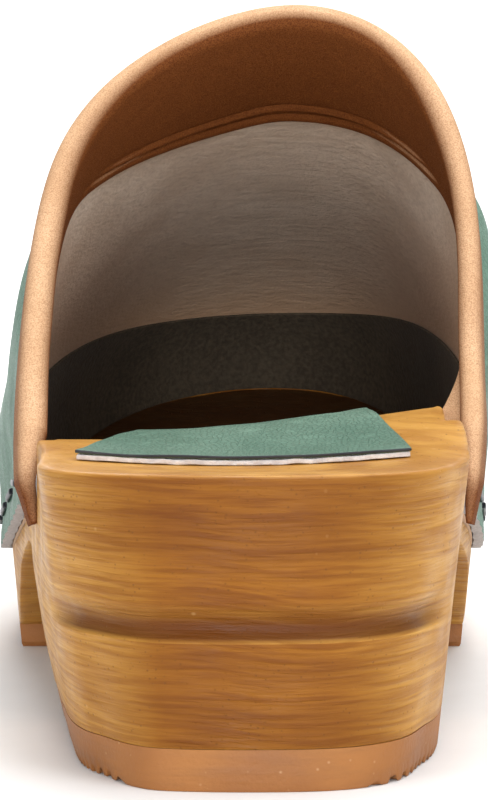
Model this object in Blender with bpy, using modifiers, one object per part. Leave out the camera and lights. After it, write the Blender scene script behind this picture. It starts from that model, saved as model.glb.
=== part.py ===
"""Wooden clog for the left foot: an alder sole with a heel, rubber outsoles, and a stapled leather upper.

Blender 4.5 script, in metres, +Z up. Every sub-part is one named object under the empty "clog_origin".
Places are worked out from the back of the heel: y runs from 0 there to the toe, x is positive on the
inner (big toe) side, and z is 0 on the ground. The empty then moves all of it so that the origin is the
bottom centre of the whole clog.
"""

import math

import bmesh
import bpy
import numpy as np

MM = 0.001
GAP = 0.3 * MM

# Where the middle of the clog's box lies, from the back of the heel.
CENTRE = (-0.89 * MM, 128.92 * MM)

# The wooden sole.
HEEL_HEIGHT = 48.0 * MM
BLANK_TOP = 62.0 * MM
RABBET = 2.8 * MM
RABBET_START = 57.0 * MM
WALL_GAP = 0.8 * MM
HEEL_TAPER = 6.0 * MM
HEEL_LEAN = 1.0 * MM
HALF_HEEL = 35.0 * MM
BACK_TAPER_SHARE = 0.08
FLARE = 4.8 * MM
FLARE_TOP = 26.0 * MM
FOREFOOT_TAPER = 1.9 * MM
FOREFOOT_TAPER_TOP = 20.0 * MM
GROOVE_BOTTOM = 22.8 * MM
GROOVE_TOP = 28.2 * MM
GROOVE_DEPTH = 1.8 * MM
SEAT_DISH = 1.4 * MM
ARCH_RISE = 8.4 * MM

# The rubber outsoles.
HEEL_RUBBER = 6.5 * MM
FOREFOOT_RUBBER = 4.6 * MM
FOREFOOT_RUBBER_START = 139.0 * MM

# The leather layers, from the outside in, each GAP apart.
LEATHER = 2.0 * MM
LINING = 1.2 * MM
TOE_PUFF = 1.0 * MM
BINDING = 1.0 * MM
WALL_HEIGHT = 11.5 * MM
UPPER_START = 61.0 * MM
TOP_TRIM = 1.4 * MM
COLLAR_WIDTH = 24.0 * MM
COLLAR_TIP = 2.4 * MM
COLLAR_LAP = 4.5 * MM
COLLAR_CORE = 1.5 * MM
ROLL_RISE = 0.6 * MM
PUFF_START = 0.22
PUFF_FOOT = 0.27
PUFF_RISE = 0.17
A_STEPS = np.linspace(0, 1, 45)
B_STEPS = (0, 0.11, 0.22, 0.32, 0.43, 0.55, 0.67, 0.79, 0.9, 1)

# The label on the foot bed.
LABEL_REAR = 31.0 * MM
LABEL_LENGTH = 45.0 * MM
LABEL_REAR_HALF = 27.0 * MM
LABEL_FRONT_HALF = 19.0 * MM
LABEL_MIDDLE = 0.4 * MM
LABEL_CORNER = 5.0 * MM
LABEL_LEATHER = 0.9 * MM
LABEL_BACKING = 1.1 * MM

# The staples.
STAPLES = 27
STAPLE_CROWN = 11.0 * MM
STAPLE_WIRE = (1.2 * MM, 0.7 * MM)
STAPLE_LEG = 8.5 * MM
STAPLE_LIFT = 5.5 * MM
STAPLE_FIRST = 0.035

# Plan of the sole, from the back of the heel up the outer side, round the toe and back: x, y in mm.
OUTLINE = (
    (2, 0), (-13, 1.2), (-25.4, 7.2), (-31.2, 16), (-33, 34), (-34.8, 54), (-37.8, 80),
    (-41.6, 108), (-45.8, 135), (-47.8, 162), (-46.2, 190), (-40, 216), (-28, 238), (-11, 251),
    (8, 255), (25, 250), (37, 235), (43.2, 213), (45.8, 188), (46, 160), (44.6, 130),
    (41.4, 104), (38.2, 80), (37.2, 58), (36.8, 39), (33.4, 21), (26, 8.5), (15, 1.6),
)
# Heights along the sole, as y, z in mm: the foot bed, the underside of the wood, and the rabbet's ledge.
FOOT_BED = (
    (-12, 48.2), (0, 48.0), (30, 47.9), (62, 48.2), (80, 45.2), (108, 36.2), (140, 28.6), (168, 26.4),
    (195, 29.6), (220, 35.4), (242, 41.5), (270, 50),
)
HEEL_BREAST = (
    (60, 6.5), (63, 12), (69, 20), (78, 25.6), (90, 27.2), (104, 24.4), (120, 16), (133, 7.4), (139, 4.6),
)
TOE_SPRING = ((184, 4.6), (205, 6.4), (228, 12), (262, 23.5))
LEDGE = (
    (40, 37), (58, 36.6), (76, 35.2), (92, 31.8), (110, 27.2), (135, 20.6), (162, 17.6), (190, 19.4),
    (222, 26), (262, 34.5),
)

# The top line of the upper, on the outside of the leather, from the outer corner over the instep, in mm.
TOP_LINE = (
    (-38.2, 60.5, 41), (-38.8, 67.5, 49), (-38.9, 76, 60), (-38.4, 86, 73), (-36.8, 96, 86),
    (-33.4, 104, 97.5), (-26.2, 110.4, 108), (-15, 115, 116.6), (-2, 117.6, 122.2), (11, 118, 124),
    (23.6, 116.4, 120.6), (33.6, 112, 112), (39.8, 105, 100), (42.5, 95.6, 86), (42.6, 85.4, 71),
    (42.2, 75.6, 57), (41.8, 67.5, 49), (40.6, 60.5, 41),
)


def smooth(value, start, end):
    """0 before start, 1 after end, and an even S between them."""
    t = np.clip((np.asarray(value, float) - start) / (end - start), 0, 1)
    return t * t * (3 - 2 * t)


def bump(value, start, middle, end):
    return smooth(value, start, middle) * (1 - smooth(value, middle, end))


def curve_through(points, closed=False, steps=48):
    """Points close together on a curve of continuous curvature through the given ones."""
    p = np.array(points, float)
    if closed:
        p = np.vstack([p, p[:1]])
    span = np.diff(p, axis=0)
    h = np.linalg.norm(span, axis=1)
    n = len(p)
    a, b = np.zeros((n, n)), np.zeros_like(p)
    for i in range(n):
        before, after = (i - 1) % (n - 1), i % (n - 1)
        if closed or 0 < i < n - 1:
            left = i - 1 if i > 0 else n - 2
            right = i + 1 if i < n - 1 else 1
            a[i, left] += 1 / h[before]
            a[i, right] += 1 / h[after]
            a[i, i] += 2 / h[before] + 2 / h[after]
            b[i] = 3 * (span[before] / h[before] ** 2 + span[after] / h[after] ** 2)
        else:
            end = 0 if i == 0 else n - 2
            a[i, i], a[i, 1 if i == 0 else n - 2] = 2, 1
            b[i] = 3 * span[end] / h[end]
    slope = np.linalg.solve(a, b)
    t = np.linspace(0, 1, steps, endpoint=False)[:, None]
    pieces = [
        (2 * t**3 - 3 * t**2 + 1) * p[i]
        + (t**3 - 2 * t**2 + t) * h[i] * slope[i]
        + (3 * t**2 - 2 * t**3) * p[i + 1]
        + (t**3 - t**2) * h[i] * slope[i + 1]
        for i in range(n - 1)
    ]
    return np.vstack([*pieces, p[-1:]])


def spread(line, t):
    """The points at shares t, 0 to 1, of a line's length."""
    far = np.concatenate([[0], np.cumsum(np.linalg.norm(np.diff(line, axis=0), axis=1))])
    return np.stack([np.interp(np.asarray(t) * far[-1], far, axis) for axis in line.T], axis=-1)


def height_of(points):
    """A function from y to z, in metres, through points in mm."""
    line = curve_through(points) * MM
    return lambda y: np.interp(y, line[:, 0], line[:, 1])


PLAN = curve_through(OUTLINE, closed=True) * MM
TOP = curve_through(TOP_LINE) * MM
foot_bed_height = height_of(FOOT_BED)
ledge_height = height_of(LEDGE)


def outline(t, inset=0.0):
    """Points x, y on the sole's outline at shares t of its length, moved inwards by inset."""
    step = 0.0005
    t = np.asarray(t, float)
    along = spread(PLAN, (t + step) % 1) - spread(PLAN, (t - step) % 1)
    along /= np.linalg.norm(along, axis=-1, keepdims=True)
    inwards = np.stack([along[..., 1], -along[..., 0]], axis=-1)
    return spread(PLAN, t % 1) + inwards * np.asarray(inset)[..., None]


def share_at(y, start, end):
    """The share of the outline's length where it passes y, between two shares."""
    t = np.linspace(start, end, 2000)
    return t[np.argmin(np.abs(spread(PLAN, t)[:, 1] - y))]


def side_inset(x, y, z):
    """How far the side of the wood is inside the outline: its taper and the groove round the heel."""
    corner = np.maximum(smooth(y, 0, 20 * MM), smooth(-x, 12 * MM, 28 * MM))
    sides = BACK_TAPER_SHARE + (1 - BACK_TAPER_SHARE) * corner
    lean = HEEL_LEAN * np.clip(x / HALF_HEEL, -1, 1)
    straight = (HEEL_TAPER - lean) * sides * np.clip(1 - z / HEEL_HEIGHT, 0, 1.1)
    curved = FLARE * np.clip(1 - z / FLARE_TOP, 0, 1.2) ** 1.4
    outer = smooth(-x, 22 * MM, 30 * MM) * smooth(y, 14 * MM, 44 * MM)
    heel = straight * (1 - outer) + curved * outer
    front = FOREFOOT_TAPER * np.clip(1 - z / FOREFOOT_TAPER_TOP, 0, 1.2)
    share = smooth(y, 55 * MM, 115 * MM)
    up_groove = np.clip((z - GROOVE_BOTTOM) / (GROOVE_TOP - GROOVE_BOTTOM), 0, 1)
    groove = GROOVE_DEPTH * np.sin(math.pi * up_groove**0.7)
    return heel * (1 - share) + front * share + groove * (1 - smooth(y, 14 * MM, 30 * MM))


def foot_bed(x, y):
    """Height of the foot bed: dished under the heel, and raised under the arch on the inner side."""
    dish = SEAT_DISH * np.clip(1 - (x / (30 * MM)) ** 2, 0, 1) * bump(y, 2 * MM, 32 * MM, 66 * MM)
    arch = ARCH_RISE * smooth(x, -20 * MM, 56 * MM) * bump(y, 34 * MM, 80 * MM, 135 * MM)
    return foot_bed_height(y) - dish + arch


def new_collection(name):
    collection = bpy.data.collections.new(name)
    bpy.context.scene.collection.children.link(collection)
    return collection


def clear_scene():
    for old in list(bpy.data.objects):
        bpy.data.objects.remove(old)


clear_scene()
PARTS = new_collection("wooden_clog")
CUTTERS = new_collection("cutters")
ORIGIN = bpy.data.objects.new("clog_origin", None)
PARTS.objects.link(ORIGIN)
ORIGIN.location = (-CENTRE[0], -CENTRE[1], 0)


def material(name, colour, roughness, metallic=0.0):
    made = bpy.data.materials.new(name)
    made.use_nodes = True
    shader = made.node_tree.nodes["Principled BSDF"]
    shader.inputs["Base Color"].default_value = (*colour, 1)
    shader.inputs["Roughness"].default_value = roughness
    shader.inputs["Metallic"].default_value = metallic
    return made


ALDER = material("alder", (0.47, 0.24, 0.075), 0.38)
RUBBER = material("brown_rubber", (0.36, 0.17, 0.07), 0.6)
GREEN = material("green_leather", (0.19, 0.33, 0.25), 0.5)
SPLIT = material("lining_leather", (0.2, 0.16, 0.13), 0.9)
FELT = material("toe_felt", (0.09, 0.08, 0.07), 0.95)
TAN = material("tan_leather", (0.62, 0.36, 0.2), 0.7)
FOAM = material("foam", (0.8, 0.78, 0.7), 0.9)
FLEECE = material("white_fleece", (0.75, 0.73, 0.72), 0.95)
STEEL = material("black_steel", (0.03, 0.03, 0.035), 0.35, 1.0)


def add(name, data, finish=None):
    """Puts an object in the scene under the origin: a part if it has a finish, or else a cutter."""
    made = bpy.data.objects.new(name, data)
    made.parent = ORIGIN
    if finish is None:
        CUTTERS.objects.link(made)
        made.hide_render = True
        made.display_type = "WIRE"
    else:
        PARTS.objects.link(made)
        data.materials.append(finish)
    return made


def mesh_from(form):
    """A bmesh made into a mesh, with its faces pointing out."""
    bmesh.ops.recalc_face_normals(form, faces=form.faces[:])
    mesh = bpy.data.meshes.new("form")
    form.to_mesh(mesh)
    form.free()
    return mesh


def rings(levels):
    """A closed loft through rings that have the same number of points."""
    form = bmesh.new()
    rows = [[form.verts.new(p) for p in ring] for ring in levels]
    for low, high in zip(rows, rows[1:]):
        for i in range(len(low)):
            j = (i + 1) % len(low)
            form.faces.new((low[i], low[j], high[j], high[i]))
    form.faces.new(rows[0])
    form.faces.new(rows[-1])
    return mesh_from(form)


def grid(points):
    """An open surface through rows of points."""
    form = bmesh.new()
    rows = [[form.verts.new(p) for p in row] for row in points]
    for low, high in zip(rows, rows[1:]):
        for i in range(len(low) - 1):
            form.faces.new((low[i], low[i + 1], high[i + 1], high[i]))
    mesh = bpy.data.meshes.new("sheet")
    form.to_mesh(mesh)
    form.free()
    return mesh


def solidify(thing, thickness, offset):
    shell = thing.modifiers.new("thickness", "SOLIDIFY")
    shell.thickness = thickness
    shell.offset = offset


def boolean(thing, operation, other):
    cut = thing.modifiers.new(operation.lower(), "BOOLEAN")
    cut.operation = operation
    cut.object = other


def across(name, side_view, half_width=64 * MM):
    """A cutter with the given side view, as y, z, running across the sole."""
    form = bmesh.new()
    face = form.faces.new([form.verts.new((-half_width, y, z)) for y, z in side_view])
    pushed = bmesh.ops.extrude_face_region(form, geom=[face])["geom"]
    bmesh.ops.translate(
        form, vec=(2 * half_width, 0, 0), verts=[v for v in pushed if isinstance(v, bmesh.types.BMVert)]
    )
    return add(name, mesh_from(form))


def block(inset, levels, count=72):
    """The sole's outline as a solid, inset by a function of x, y and z."""
    t = np.arange(count) / count
    made = []
    for z in levels:
        flat = outline(t, np.array([inset(x, y, z) for x, y in outline(t)]))
        made.append([(x, y, z) for x, y in flat])
    return rings(made)


def underside(lowest):
    """The wood's underside from the heel's back to the toe, as y, z, lowered where it is the rubber's."""
    heel = [(-12 * MM, HEEL_RUBBER)]
    breast = spread(curve_through(HEEL_BREAST) * MM, np.linspace(0, 1, 17))
    spring = spread(curve_through(TOE_SPRING) * MM, np.linspace(0, 1, 9))
    line = [*heel, *map(tuple, breast), *map(tuple, spring)]
    return [(line[0][0], lowest), *line, (line[-1][0], lowest)]


GROOVE_LEVELS = np.linspace(GROOVE_BOTTOM, GROOVE_TOP, 5)
BLANK_LEVELS = [-4 * MM, 0, 14 * MM, *GROOVE_LEVELS, HEEL_HEIGHT, BLANK_TOP]


def wooden_sole(holes):
    sole = add("wooden_sole", block(side_inset, BLANK_LEVELS), ALDER)

    x = np.linspace(-60, 60, 13) * MM
    y = np.linspace(-12, 268, 36) * MM
    bed = add("foot_bed_cutter", grid([[(a, b, foot_bed(a, b)) for a in x] for b in y]))
    solidify(bed, 45 * MM, 1)

    ledge_y = np.linspace(RABBET_START, 268 * MM, 26)
    ledge = [(b, ledge_height(b)) for b in ledge_y]
    rabbet = across("rabbet_cutter", [*ledge, (268 * MM, 90 * MM), (RABBET_START, 90 * MM)])
    core = add("rabbet_core", block(lambda x, y, z: RABBET, [-10 * MM, 100 * MM]))
    boolean(rabbet, "DIFFERENCE", core)

    boolean(sole, "DIFFERENCE", across("underside_cutter", underside(-20 * MM)))
    boolean(sole, "DIFFERENCE", rabbet)
    boolean(sole, "DIFFERENCE", bed)
    boolean(sole, "DIFFERENCE", holes)


def heel_outsole():
    made = add("heel_outsole", block(side_inset, [0, HEEL_RUBBER - GAP]), RUBBER)
    end = HEEL_BREAST[0][0] * MM - GAP
    beyond = [(end, -9 * MM), (300 * MM, -9 * MM), (300 * MM, 9 * MM), (end, 9 * MM)]
    boolean(made, "DIFFERENCE", across("heel_rubber_end", beyond))


def forefoot_outsole():
    """A rubber sheet under the forefoot, bent up with the toe spring and trimmed to the wood's outline."""
    made = add("forefoot_outsole", block(side_inset, [-4 * MM, 0, FOREFOOT_TAPER_TOP, BLANK_TOP]), RUBBER)
    spring = spread(curve_through(TOE_SPRING) * MM, np.linspace(0, 1, 9))
    start = FOREFOOT_RUBBER_START + GAP
    top = [(start, FOREFOOT_RUBBER), *map(tuple, spring)]
    strip = [(y, z - GAP) for y, z in top] + [(y, z - FOREFOOT_RUBBER) for y, z in reversed(top)]
    boolean(made, "INTERSECT", across("forefoot_rubber_strip", strip))


# The upper. a runs from 0 at its outer corner round the toe to 1 at its inner corner, and b from 0 at its
# lower edge to 1 at the top line.
FIRST_SHARE = share_at(UPPER_START, 0.0, 0.4)
LAST_SHARE = share_at(UPPER_START, 0.6, 1.0)
LINING_DEPTH = LEATHER + GAP
INSIDE_DEPTH = LINING_DEPTH + LINING + 1.7 * GAP
WALL_SHARE = 0.22


def from_corner(a):
    """0 at both rear corners of the upper, and 0.5 at the toe."""
    return np.minimum(a, 1 - np.asarray(a, float))


def stand_off(a):
    """From the rabbet's wall to the outside of the leather, with room for the collar near the corners."""
    return LINING_DEPTH + LINING + WALL_GAP + (1 - smooth(from_corner(a), 0.12, 0.26)) * (BINDING + GAP)


def lower_edge(a):
    """Points on the outside of the leather along its lower edge."""
    share = FIRST_SHARE + np.asarray(a, float) * (LAST_SHARE - FIRST_SHARE)
    flat = outline(share, RABBET - stand_off(a))
    return np.stack([flat[..., 0], flat[..., 1], ledge_height(flat[..., 1]) + GAP], axis=-1)


def upper(a, b):
    """The point on the outside of the leather at a, b: up the wood's wall, then over the foot."""
    low, top = lower_edge(a), spread(TOP, a)
    wall = low + np.array([0, 0, min(WALL_HEIGHT, 0.4 * (top[2] - low[2]))])
    if b < WALL_SHARE:
        return low + (wall - low) * b / WALL_SHARE
    reach = np.linalg.norm(top - wall)
    middle = math.sin(math.pi * a) ** 2
    side = (-1 if a < 0.5 else 1) * (1 - middle)
    up = np.array([0.15 * side, 0.06 * (1 - middle), 1])
    down = np.array([0.22 * side, 0.25 + 0.62 * middle, 0.42 * middle - 1])
    t = (b - WALL_SHARE) / (1 - WALL_SHARE)
    return (
        (1 - t) ** 3 * wall
        + 3 * t * (1 - t) ** 2 * (wall + up * reach * (0.34 - 0.10 * middle))
        + 3 * t * t * (1 - t) * (top + down * reach * (0.30 + 0.12 * middle))
        + t**3 * top
    )


def upper_frame(a, b):
    """Unit vectors at a, b: along the upper towards its inner corner, up the leather, and outwards."""
    step = 0.004
    along = upper(min(a + step, 1), b) - upper(max(a - step, 0), b)
    up = upper(a, min(b + step, 1)) - upper(a, max(b - step, 0))
    out = np.cross(up, along)
    out /= np.linalg.norm(out)
    along /= np.linalg.norm(along)
    return along, np.cross(along, out), out


def under(a, b, depth):
    """The point at a depth under the outside of the leather."""
    return upper(a, b) - depth * upper_frame(a, b)[2]


def profile_length(a):
    line = np.array([upper(a, b) for b in np.linspace(0, 1, 25)])
    return np.linalg.norm(np.diff(line, axis=0), axis=1).sum()


def b_below_top(a, distance):
    """The b that lies a distance down the leather from the top line."""
    line = np.array([upper(a, b) for b in np.linspace(1, 0, 101)])
    far = np.concatenate([[0], np.cumsum(np.linalg.norm(np.diff(line, axis=0), axis=1))])
    return float(np.interp(distance, far, np.linspace(1, 0, 101)))


def shell(name, rows, thickness, finish):
    """A skin through rows of points on its outer side, with its thickness inwards."""
    made = add(name, grid(rows), finish)
    solidify(made, thickness, 1)
    return made


def leather_layer(name, depth, thickness, finish, holes):
    tops = [b_below_top(a, TOP_TRIM) for a in A_STEPS]
    rows = [[under(a, b * top, depth) for a, top in zip(A_STEPS, tops)] for b in B_STEPS]
    boolean(shell(name, rows, thickness, finish), "DIFFERENCE", holes)


def toe_puff():
    """A stiffener inside the lining, from just above the wood up to a curved edge over the toes."""
    columns = []
    for a in [a for a in A_STEPS if PUFF_START < a < 1 - PUFF_START]:
        line = np.array([under(a, b, INSIDE_DEPTH + GAP) for b in B_STEPS])
        share = (a - PUFF_START) / (1 - 2 * PUFF_START)
        edge = PUFF_FOOT + 0.02 + PUFF_RISE * math.sin(math.pi * share) ** 0.6
        steps = np.linspace(PUFF_FOOT, edge, 6)
        columns.append(np.stack([np.interp(steps, B_STEPS, axis) for axis in line.T], axis=-1))
    shell("toe_puff", list(zip(*columns)), TOE_PUFF, FELT)


def collar_section(a):
    """The outer side of the collar's binding, from its edge outside, over the roll, down the inside."""
    _, up, out = upper_frame(a, 1)
    top = upper(a, 1)
    radius = (GAP + BINDING + INSIDE_DEPTH + BINDING) / 2
    middle = top + out * (GAP + BINDING - radius) + up * ROLL_RISE
    angles = np.linspace(0, math.pi, 9)
    roll = [middle + radius * (math.cos(w) * out + math.sin(w) * up) for w in angles]
    lap = COLLAR_LAP * (0.5 + 0.5 * smooth(from_corner(a), 0, 0.05))
    outside = [under(a, b_below_top(a, d), -GAP - BINDING) for d in (lap, lap / 2)]
    width = COLLAR_TIP + (COLLAR_WIDTH - COLLAR_TIP) * smooth(from_corner(a), 0.1, 0.36)
    depth = INSIDE_DEPTH + BINDING
    inside = [under(a, b_below_top(a, share * width), depth) for share in (0.14, 0.4, 0.7, 1)]
    return [*outside, *roll, *inside]


def collar():
    sections = [collar_section(a) for a in A_STEPS]
    shell("collar_binding", list(zip(*sections)), BINDING, TAN)

    radius = (GAP + BINDING + INSIDE_DEPTH + BINDING) / 2
    line = []
    for a in A_STEPS[2:-2]:
        _, up, out = upper_frame(a, 1)
        line.append(upper(a, 1) + out * (GAP + BINDING - radius) + up * ROLL_RISE)
    path = bpy.data.curves.new("collar_core", "CURVE")
    path.dimensions = "3D"
    path.bevel_depth = COLLAR_CORE
    path.bevel_resolution = 2
    path.use_fill_caps = True
    spline = path.splines.new("POLY")
    spline.points.add(len(line) - 1)
    for point, place in zip(spline.points, line):
        point.co = (*place, 1)
    add("collar_core", path, FOAM)


def label_point(across, along, lift):
    """A point on the label: across from -1 to 1, along from 0 at its rear edge to 1 over the arch."""
    y = LABEL_REAR + along * LABEL_LENGTH
    half = LABEL_REAR_HALF + (LABEL_FRONT_HALF - LABEL_REAR_HALF) * smooth(along, -0.1, 1.05)
    x = LABEL_MIDDLE + across * half
    y -= LABEL_CORNER * max(0.0, abs(across) - 0.7) ** 2 * along / 0.09
    return x, y, float(foot_bed(x, y)) + lift


def heel_label():
    """A leather label on a white backing, glued to the foot bed under the heel."""
    for name, lift, thickness, finish in (
        ("heel_label_backing", GAP, LABEL_BACKING, FLEECE),
        ("heel_label", 2 * GAP + LABEL_BACKING, LABEL_LEATHER, GREEN),
    ):
        rows = [[label_point(u, w, lift) for u in np.linspace(-1, 1, 13)] for w in np.linspace(0, 1, 10)]
        solidify(add(name, grid(rows), finish), thickness, 1)


def staple_place(number):
    """The middle of a staple on the leather, and the directions along, up and out there."""
    a = STAPLE_FIRST + (1 - 2 * STAPLE_FIRST) * number / (STAPLES - 1)
    b = b_below_top(a, profile_length(a) - STAPLE_LIFT)
    return upper(a, b), *upper_frame(a, b)


def prism(form, place, outline_2d, low, high):
    """Adds an outline in a staple's plane (along, out), thick from low to high in its up direction."""
    middle, along, up, out = place
    corners = [[middle + e * along + n * out + u * up for e, n in outline_2d] for u in (low, high)]
    rows = [[form.verts.new(p) for p in row] for row in corners]
    count = len(outline_2d)
    for i in range(count):
        j = (i + 1) % count
        form.faces.new((rows[0][i], rows[0][j], rows[1][j], rows[1][i]))
    form.faces.new(rows[0])
    form.faces.new(rows[1])


def staples():
    """Staples of flat wire along the upper's lower edge, and the cutter for their holes."""
    half, wide, thick = STAPLE_CROWN / 2, STAPLE_WIRE[0] / 2, STAPLE_WIRE[1]
    crown = GAP + thick
    holes = bmesh.new()
    for number in range(STAPLES):
        place = staple_place(number)
        wire = [
            (-half, -STAPLE_LEG), (-half, crown), (half, crown), (half, -STAPLE_LEG),
            (half - thick, -STAPLE_LEG), (half - thick, GAP),
            (thick - half, GAP), (thick - half, -STAPLE_LEG),
        ]
        form = bmesh.new()
        prism(form, place, wire, -wide, wide)
        add(f"staple_{number + 1:02d}", mesh_from(form), STEEL)
        for side in (-1, 1):
            leg = side * (half - thick / 2)
            room = thick / 2 + GAP
            bottom, top = -STAPLE_LEG - 2 * GAP, 4 * MM
            square = [(leg - room, bottom), (leg - room, top), (leg + room, top), (leg + room, bottom)]
            prism(holes, place, square, -wide - GAP, wide + GAP)
    return add("staple_holes", mesh_from(holes))


def build():
    holes = staples()
    wooden_sole(holes)
    heel_outsole()
    forefoot_outsole()
    leather_layer("vamp_leather", 0, LEATHER, GREEN, holes)
    leather_layer("vamp_lining", LINING_DEPTH, LINING, SPLIT, holes)
    toe_puff()
    collar()
    heel_label()


build()
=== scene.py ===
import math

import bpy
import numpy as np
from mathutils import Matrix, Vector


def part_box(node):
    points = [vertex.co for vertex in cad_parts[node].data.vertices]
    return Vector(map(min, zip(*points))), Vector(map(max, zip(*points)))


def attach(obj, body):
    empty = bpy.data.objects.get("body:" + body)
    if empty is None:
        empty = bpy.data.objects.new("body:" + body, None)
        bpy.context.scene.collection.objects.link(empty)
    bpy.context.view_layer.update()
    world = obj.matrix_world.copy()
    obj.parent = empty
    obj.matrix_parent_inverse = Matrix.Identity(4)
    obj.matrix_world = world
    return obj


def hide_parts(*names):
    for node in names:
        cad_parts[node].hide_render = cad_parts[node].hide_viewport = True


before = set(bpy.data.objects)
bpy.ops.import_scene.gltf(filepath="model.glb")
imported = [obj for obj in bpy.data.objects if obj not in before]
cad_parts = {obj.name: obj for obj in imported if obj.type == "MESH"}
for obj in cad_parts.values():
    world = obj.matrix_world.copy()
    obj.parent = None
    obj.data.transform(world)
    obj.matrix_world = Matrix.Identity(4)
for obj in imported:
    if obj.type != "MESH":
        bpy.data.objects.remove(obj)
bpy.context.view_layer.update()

# Looks of the wooden clog: a left clog of lacquered alder with rubber outsoles, a green leather upper
# stapled into a rabbet in the wood, a tan padded collar, and a green label on the foot bed.
# Shapes are worked out in metres from the back of the heel, as in the CAD part, and placed in the frame.

MM = 0.001
GAP = 0.3 * MM
SEAM = 0.04 * MM
FRAME_SHIFT = 0.89 * MM
HEEL_BACK = Vector((FRAME_SHIFT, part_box("wooden_sole")[0].y, 0))

# The wooden sole.
HEEL_HEIGHT = 48.0 * MM
RABBET = 2.8 * MM
RABBET_START = 57.0 * MM
WALL_GAP = 0.8 * MM
HEEL_TAPER = 6.0 * MM
HEEL_LEAN = 1.0 * MM
HALF_HEEL = 35.0 * MM
BACK_TAPER_SHARE = 0.08
FLARE = 4.8 * MM
FLARE_TOP = 26.0 * MM
FOREFOOT_TAPER = 1.9 * MM
FOREFOOT_TAPER_TOP = 20.0 * MM
GROOVE_BOTTOM = 22.8 * MM
GROOVE_TOP = 28.2 * MM
GROOVE_DEPTH = 1.8 * MM
SEAT_DISH = 1.4 * MM
ARCH_RISE = 8.4 * MM
RIM = 0.9 * MM

# The rubber outsoles and the ribs of their tread.
HEEL_RUBBER = 6.5 * MM
FOREFOOT_RUBBER = 4.6 * MM
FOREFOOT_RUBBER_START = 139.0 * MM
TREAD_PITCH = 2.7 * MM
TREAD_DEPTH = 1.0 * MM

# The upper, from the outside in.
LEATHER = 2.0 * MM
LINING = 1.2 * MM
TOE_PUFF = 0.6 * MM
BINDING = 0.8 * MM
WALL_HEIGHT = 11.5 * MM
UPPER_START = 61.0 * MM
TOP_TRIM = 1.4 * MM
BULGE = 3.0 * MM
COLLAR_WIDTH = 30.5 * MM
COLLAR_TIP = 2.4 * MM
COLLAR_LAP = 4.5 * MM
COLLAR_CORE = 1.5 * MM
ROLL_OUT = 0.9 * MM
ROLL = 2.65 * MM
ROLL_RISE = 1.4 * MM
ROLL_TUCK = 0.7 * MM
TAIL = 14
TAIL_DROP = 3.0 * MM
TAIL_LENGTH = 17 * MM
TAIL_LEAN = 2.2 * MM
INNER_SLIMMER = 0.2
FLAP = 5.0 * MM
FLAP_CURL = 6.5 * MM
LINING_DEPTH = LEATHER + GAP
WALL_SHARE = 0.22

# About how far the upper's lower edge runs round the toe, in metres.
ROUND_THE_TOE = 0.42

# The toe stiffener: the share of the upper where it starts, and its upper edge, as the level at its outer
# end, the slant up to its inner end and the rise between the two.
PUFF_START = 0.22
PUFF_LEVEL = 46.0 * MM
PUFF_SLANT = 8.0 * MM
PUFF_RISE = 15.5 * MM

# The label on the foot bed.
LABEL_REAR = 31.0 * MM
LABEL_LENGTH = 45.0 * MM
LABEL_REAR_HALF = 27.0 * MM
LABEL_FRONT_HALF = 19.0 * MM
LABEL_MIDDLE = 0.0 * MM
LABEL_SKEW = 2.4 * MM
LABEL_TURN = 2.0 * MM
LABEL_CORNER = 5.0 * MM
LABEL_LEATHER = 0.55 * MM
LABEL_BACKING = 0.7 * MM

# The staples.
STAPLES = 27
STAPLE_CROWN = 11.0 * MM
STAPLE_WIRE = (1.2 * MM, 0.7 * MM)
STAPLE_LEG = 8.5 * MM
STAPLE_LIFT = 5.5 * MM
STAPLE_FIRST = 0.035

# The backdrop, in metres: its flat floor, the sweep at the end of it and the wall above.
FLOOR_START = -2.5
FLOOR_END = 1.2
HALF_FLOOR = 3
SWEEP = 0.8
WALL_TOP = 3.0

# The camera, behind the heel.
CAMERA_DISTANCE = 0.415
CAMERA_HEIGHT = 0.0885
CAMERA_LENS = 125.6
CAMERA_TILT = math.radians(4.02)

OUTLINE = (
    (2, 0), (-13, 1.2), (-25.4, 7.2), (-31.2, 16), (-33, 34), (-34.8, 54), (-37.8, 80),
    (-41.6, 108), (-45.8, 135), (-47.8, 162), (-46.2, 190), (-40, 216), (-28, 238), (-11, 251),
    (8, 255), (25, 250), (37, 235), (43.2, 213), (45.8, 188), (46, 160), (44.6, 130),
    (41.4, 104), (38.2, 80), (37.2, 58), (36.8, 39), (33.4, 21), (26, 8.5), (15, 1.6),
)
FOOT_BED = (
    (-12, 48.2), (0, 48.0), (30, 47.9), (62, 48.2), (80, 45.2), (108, 36.2), (140, 28.6), (168, 26.4),
    (195, 29.6), (220, 35.4), (242, 41.5), (270, 50),
)
HEEL_BREAST = (
    (60, 6.5), (63, 12), (69, 20), (78, 25.6), (90, 27.2), (104, 24.4), (120, 16), (133, 7.4), (139, 4.6),
)
TOE_SPRING = ((184, 4.6), (205, 6.4), (228, 12), (262, 23.5))
LEDGE = (
    (40, 37), (58, 36.6), (76, 35.2), (92, 31.8), (110, 27.2), (135, 20.6), (162, 17.6), (190, 19.4),
    (222, 26), (262, 34.5),
)
TOP_LINE = (
    (-38.2, 60.5, 41), (-38.8, 67.5, 49), (-38.9, 76, 60), (-38.4, 86, 73), (-36.8, 96, 86),
    (-33.4, 104, 97.5), (-26.2, 110.4, 108), (-15, 115, 116.6), (-2, 117.6, 122.2), (11, 118, 124),
    (23.6, 116.4, 120.6), (33.6, 112, 112), (39.8, 105, 100), (42.5, 95.6, 86), (42.6, 85.4, 71),
    (42.2, 75.6, 57), (41.8, 67.5, 49), (40.6, 60.5, 41),
)


# Curves and waves.


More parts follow.
